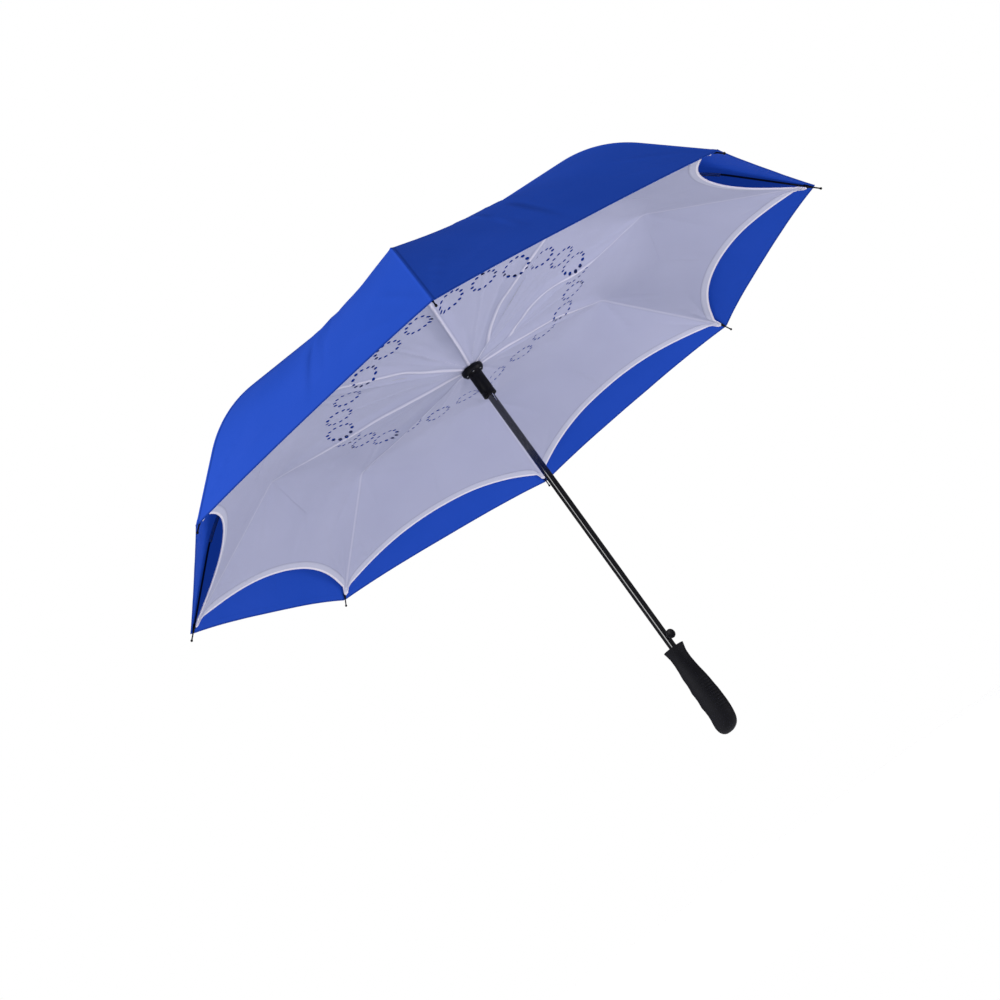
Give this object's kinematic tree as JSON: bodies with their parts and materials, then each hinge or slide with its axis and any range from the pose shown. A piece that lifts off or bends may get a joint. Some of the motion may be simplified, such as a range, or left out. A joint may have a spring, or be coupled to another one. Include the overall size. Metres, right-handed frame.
{
  "type": "inverted umbrella",
  "caption": "Automatic inverted umbrella with a blue outer canopy, a white inner canopy, folding ribs, a sliding runner, a push button and a finger-grooved rubber grip.",
  "frame": {"origin": "on the shaft's axis at the middle of the grip, where a hand holds it", "axes": "+Z along the shaft towards the crown, -Y towards rib 1, +X towards rib 3; the button and the back of the hand lie at 60 degrees clockwise from +X seen from above"},
  "size_m": [1.0686, 1.0686, 0.8055],
  "materials": {
    "blue_cloth": "satin",
    "white_cloth": "satin",
    "strut_steel": "satin",
    "rib_black": "matte",
    "shaft_black": "gloss",
    "black_plastic": "satin",
    "black_rubber": "matte",
    "bright_steel": "polished"
  },
  "bodies": {
    "shaft": {"shaft_tube": "shaft_black", "crown_cap": "black_plastic", "crown_washer": "black_plastic", "top_notch": "black_plastic", "top_notch_wire": "bright_steel", "grip": "black_rubber", "drive_spring": "bright_steel"},
    "runner": {"runner": "black_plastic", "runner_collar": "black_plastic", "runner_wire": "bright_steel"},
    "latch": {"latch_spring": "bright_steel"},
    "button": {"button": "black_plastic"},
    "upper_1": {"upper_strut_1": "strut_steel", "crown_leaf_1": "blue_cloth"},
    "lower_1": {"lower_strut_1": "strut_steel", "inner_leaf_1": "white_cloth"},
    "rib_1": {"outer_rib_1": "rib_black", "rim_leaf_1": "blue_cloth"},
    "upper_2": {"upper_strut_2": "strut_steel", "crown_leaf_2": "blue_cloth"},
    "lower_2": {"lower_strut_2": "strut_steel", "inner_leaf_2": "white_cloth"},
    "rib_2": {"outer_rib_2": "rib_black", "rim_leaf_2": "blue_cloth"},
    "upper_3": {"upper_strut_3": "strut_steel", "crown_leaf_3": "blue_cloth"},
    "lower_3": {"lower_strut_3": "strut_steel", "inner_leaf_3": "white_cloth"},
    "rib_3": {"outer_rib_3": "rib_black", "rim_leaf_3": "blue_cloth"},
    "upper_4": {"upper_strut_4": "strut_steel", "crown_leaf_4": "blue_cloth"},
    "lower_4": {"lower_strut_4": "strut_steel", "inner_leaf_4": "white_cloth"},
    "rib_4": {"outer_rib_4": "rib_black", "rim_leaf_4": "blue_cloth"},
    "upper_5": {"upper_strut_5": "strut_steel", "crown_leaf_5": "blue_cloth"},
    "lower_5": {"lower_strut_5": "strut_steel", "inner_leaf_5": "white_cloth"},
    "rib_5": {"outer_rib_5": "rib_black", "rim_leaf_5": "blue_cloth"},
    "upper_6": {"upper_strut_6": "strut_steel", "crown_leaf_6": "blue_cloth"},
    "lower_6": {"lower_strut_6": "strut_steel", "inner_leaf_6": "white_cloth"},
    "rib_6": {"outer_rib_6": "rib_black", "rim_leaf_6": "blue_cloth"},
    "upper_7": {"upper_strut_7": "strut_steel", "crown_leaf_7": "blue_cloth"},
    "lower_7": {"lower_strut_7": "strut_steel", "inner_leaf_7": "white_cloth"},
    "rib_7": {"outer_rib_7": "rib_black", "rim_leaf_7": "blue_cloth"},
    "upper_8": {"upper_strut_8": "strut_steel", "crown_leaf_8": "blue_cloth"},
    "lower_8": {"lower_strut_8": "strut_steel", "inner_leaf_8": "white_cloth"},
    "rib_8": {"outer_rib_8": "rib_black", "rim_leaf_8": "blue_cloth"}
  },
  "joints": [
    {"name": "runner_slide", "type": "slide", "parent": "shaft", "child": "runner", "axis": [0, 0, -1], "range_m": [0, 0.402], "deforming": ["drive_spring"]},
    {"name": "upper_fold_1", "type": "hinge", "parent": "shaft", "child": "upper_1", "pos_m": [0, -0.012, 0.716], "axis": [-1, 0, 0], "range_deg": [-65.7, 0], "deforming": ["crown_leaf_1"]},
    {"name": "lower_fold_1", "type": "hinge", "parent": "runner", "child": "lower_1", "pos_m": [0, -0.014, 0.5485], "axis": [-1, 0, 0], "range_deg": [0, 69.3], "deforming": ["inner_leaf_1"]},
    {"name": "rib_fold_1", "type": "hinge", "parent": "upper_1", "child": "rib_1", "pos_m": [0, -0.3, 0.62732], "axis": [-1, 0, 0], "range_deg": [0, 167.7], "deforming": ["rim_leaf_1"]},
    {"name": "upper_fold_2", "type": "hinge", "parent": "shaft", "child": "upper_2", "pos_m": [0.00848, -0.00848, 0.716], "axis": [-0.7071, -0.7071, 0], "range_deg": [-65.7, 0], "deforming": ["crown_leaf_2"]},
    {"name": "lower_fold_2", "type": "hinge", "parent": "runner", "child": "lower_2", "pos_m": [0.0099, -0.0099, 0.5485], "axis": [-0.7071, -0.7071, 0], "range_deg": [0, 69.3], "deforming": ["inner_leaf_2"]},
    {"name": "rib_fold_2", "type": "hinge", "parent": "upper_2", "child": "rib_2", "pos_m": [0.21213, -0.21213, 0.62732], "axis": [-0.7071, -0.7071, 0], "range_deg": [0, 167.7], "deforming": ["rim_leaf_2"]},
    {"name": "upper_fold_3", "type": "hinge", "parent": "shaft", "child": "upper_3", "pos_m": [0.012, 0, 0.716], "axis": [0, -1, 0], "range_deg": [-65.7, 0], "deforming": ["crown_leaf_3"]},
    {"name": "lower_fold_3", "type": "hinge", "parent": "runner", "child": "lower_3", "pos_m": [0.014, 0, 0.5485], "axis": [0, -1, 0], "range_deg": [0, 69.3], "deforming": ["inner_leaf_3"]},
    {"name": "rib_fold_3", "type": "hinge", "parent": "upper_3", "child": "rib_3", "pos_m": [0.3, 0, 0.62732], "axis": [0, -1, 0], "range_deg": [0, 167.7], "deforming": ["rim_leaf_3"]},
    {"name": "upper_fold_4", "type": "hinge", "parent": "shaft", "child": "upper_4", "pos_m": [0.00848, 0.00848, 0.716], "axis": [0.7071, -0.7071, 0], "range_deg": [-65.7, 0], "deforming": ["crown_leaf_4"]},
    {"name": "lower_fold_4", "type": "hinge", "parent": "runner", "child": "lower_4", "pos_m": [0.0099, 0.0099, 0.5485], "axis": [0.7071, -0.7071, 0], "range_deg": [0, 69.3], "deforming": ["inner_leaf_4"]},
    {"name": "rib_fold_4", "type": "hinge", "parent": "upper_4", "child": "rib_4", "pos_m": [0.21213, 0.21213, 0.62732], "axis": [0.7071, -0.7071, 0], "range_deg": [0, 167.7], "deforming": ["rim_leaf_4"]},
    {"name": "upper_fold_5", "type": "hinge", "parent": "shaft", "child": "upper_5", "pos_m": [0, 0.012, 0.716], "axis": [1, 0, 0], "range_deg": [-65.7, 0], "deforming": ["crown_leaf_5"]},
    {"name": "lower_fold_5", "type": "hinge", "parent": "runner", "child": "lower_5", "pos_m": [0, 0.014, 0.5485], "axis": [1, 0, 0], "range_deg": [0, 69.3], "deforming": ["inner_leaf_5"]},
    {"name": "rib_fold_5", "type": "hinge", "parent": "upper_5", "child": "rib_5", "pos_m": [0, 0.3, 0.62732], "axis": [1, 0, 0], "range_deg": [0, 167.7], "deforming": ["rim_leaf_5"]},
    {"name": "upper_fold_6", "type": "hinge", "parent": "shaft", "child": "upper_6", "pos_m": [-0.00848, 0.00848, 0.716], "axis": [0.7071, 0.7071, 0], "range_deg": [-65.7, 0], "deforming": ["crown_leaf_6"]},
    {"name": "lower_fold_6", "type": "hinge", "parent": "runner", "child": "lower_6", "pos_m": [-0.0099, 0.0099, 0.5485], "axis": [0.7071, 0.7071, 0], "range_deg": [0, 69.3], "deforming": ["inner_leaf_6"]},
    {"name": "rib_fold_6", "type": "hinge", "parent": "upper_6", "child": "rib_6", "pos_m": [-0.21213, 0.21213, 0.62732], "axis": [0.7071, 0.7071, 0], "range_deg": [0, 167.7], "deforming": ["rim_leaf_6"]},
    {"name": "upper_fold_7", "type": "hinge", "parent": "shaft", "child": "upper_7", "pos_m": [-0.012, 0, 0.716], "axis": [0, 1, 0], "range_deg": [-65.7, 0], "deforming": ["crown_leaf_7"]},
    {"name": "lower_fold_7", "type": "hinge", "parent": "runner", "child": "lower_7", "pos_m": [-0.014, 0, 0.5485], "axis": [0, 1, 0], "range_deg": [0, 69.3], "deforming": ["inner_leaf_7"]},
    {"name": "rib_fold_7", "type": "hinge", "parent": "upper_7", "child": "rib_7", "pos_m": [-0.3, 0, 0.62732], "axis": [0, 1, 0], "range_deg": [0, 167.7], "deforming": ["rim_leaf_7"]},
    {"name": "upper_fold_8", "type": "hinge", "parent": "shaft", "child": "upper_8", "pos_m": [-0.00848, -0.00848, 0.716], "axis": [-0.7071, 0.7071, 0], "range_deg": [-65.7, 0], "deforming": ["crown_leaf_8"]},
    {"name": "lower_fold_8", "type": "hinge", "parent": "runner", "child": "lower_8", "pos_m": [-0.0099, -0.0099, 0.5485], "axis": [-0.7071, 0.7071, 0], "range_deg": [0, 69.3], "deforming": ["inner_leaf_8"]},
    {"name": "rib_fold_8", "type": "hinge", "parent": "upper_8", "child": "rib_8", "pos_m": [-0.21213, -0.21213, 0.62732], "axis": [-0.7071, 0.7071, 0], "range_deg": [0, 167.7], "deforming": ["rim_leaf_8"]},
    {"name": "button_press", "type": "slide", "parent": "shaft", "child": "button", "axis": [-0.5, 0.866, 0], "range_m": [0, 0.003], "stiffness_N_per_m": 600},
    {"name": "latch_press", "type": "slide", "parent": "shaft", "child": "latch", "axis": [-0.5, 0.866, 0], "range_m": [0, 0.0016], "stiffness_N_per_m": 1500}
  ],
  "couplings": [
    {"joint": "upper_fold_1", "follows": "runner_slide", "rad_per_m": -2.8508},
    {"joint": "lower_fold_1", "follows": "runner_slide", "rad_per_m": 3.0064},
    {"joint": "rib_fold_1", "follows": "runner_slide", "rad_per_m": 7.2774},
    {"joint": "upper_fold_2", "follows": "runner_slide", "rad_per_m": -2.8508},
    {"joint": "lower_fold_2", "follows": "runner_slide", "rad_per_m": 3.0064},
    {"joint": "rib_fold_2", "follows": "runner_slide", "rad_per_m": 7.2774},
    {"joint": "upper_fold_3", "follows": "runner_slide", "rad_per_m": -2.8508},
    {"joint": "lower_fold_3", "follows": "runner_slide", "rad_per_m": 3.0064},
    {"joint": "rib_fold_3", "follows": "runner_slide", "rad_per_m": 7.2774},
    {"joint": "upper_fold_4", "follows": "runner_slide", "rad_per_m": -2.8508},
    {"joint": "lower_fold_4", "follows": "runner_slide", "rad_per_m": 3.0064},
    {"joint": "rib_fold_4", "follows": "runner_slide", "rad_per_m": 7.2774},
    {"joint": "upper_fold_5", "follows": "runner_slide", "rad_per_m": -2.8508},
    {"joint": "lower_fold_5", "follows": "runner_slide", "rad_per_m": 3.0064},
    {"joint": "rib_fold_5", "follows": "runner_slide", "rad_per_m": 7.2774},
    {"joint": "upper_fold_6", "follows": "runner_slide", "rad_per_m": -2.8508},
    {"joint": "lower_fold_6", "follows": "runner_slide", "rad_per_m": 3.0064},
    {"joint": "rib_fold_6", "follows": "runner_slide", "rad_per_m": 7.2774},
    {"joint": "upper_fold_7", "follows": "runner_slide", "rad_per_m": -2.8508},
    {"joint": "lower_fold_7", "follows": "runner_slide", "rad_per_m": 3.0064},
    {"joint": "rib_fold_7", "follows": "runner_slide", "rad_per_m": 7.2774},
    {"joint": "upper_fold_8", "follows": "runner_slide", "rad_per_m": -2.8508},
    {"joint": "lower_fold_8", "follows": "runner_slide", "rad_per_m": 3.0064},
    {"joint": "rib_fold_8", "follows": "runner_slide", "rad_per_m": 7.2774}
  ]
}
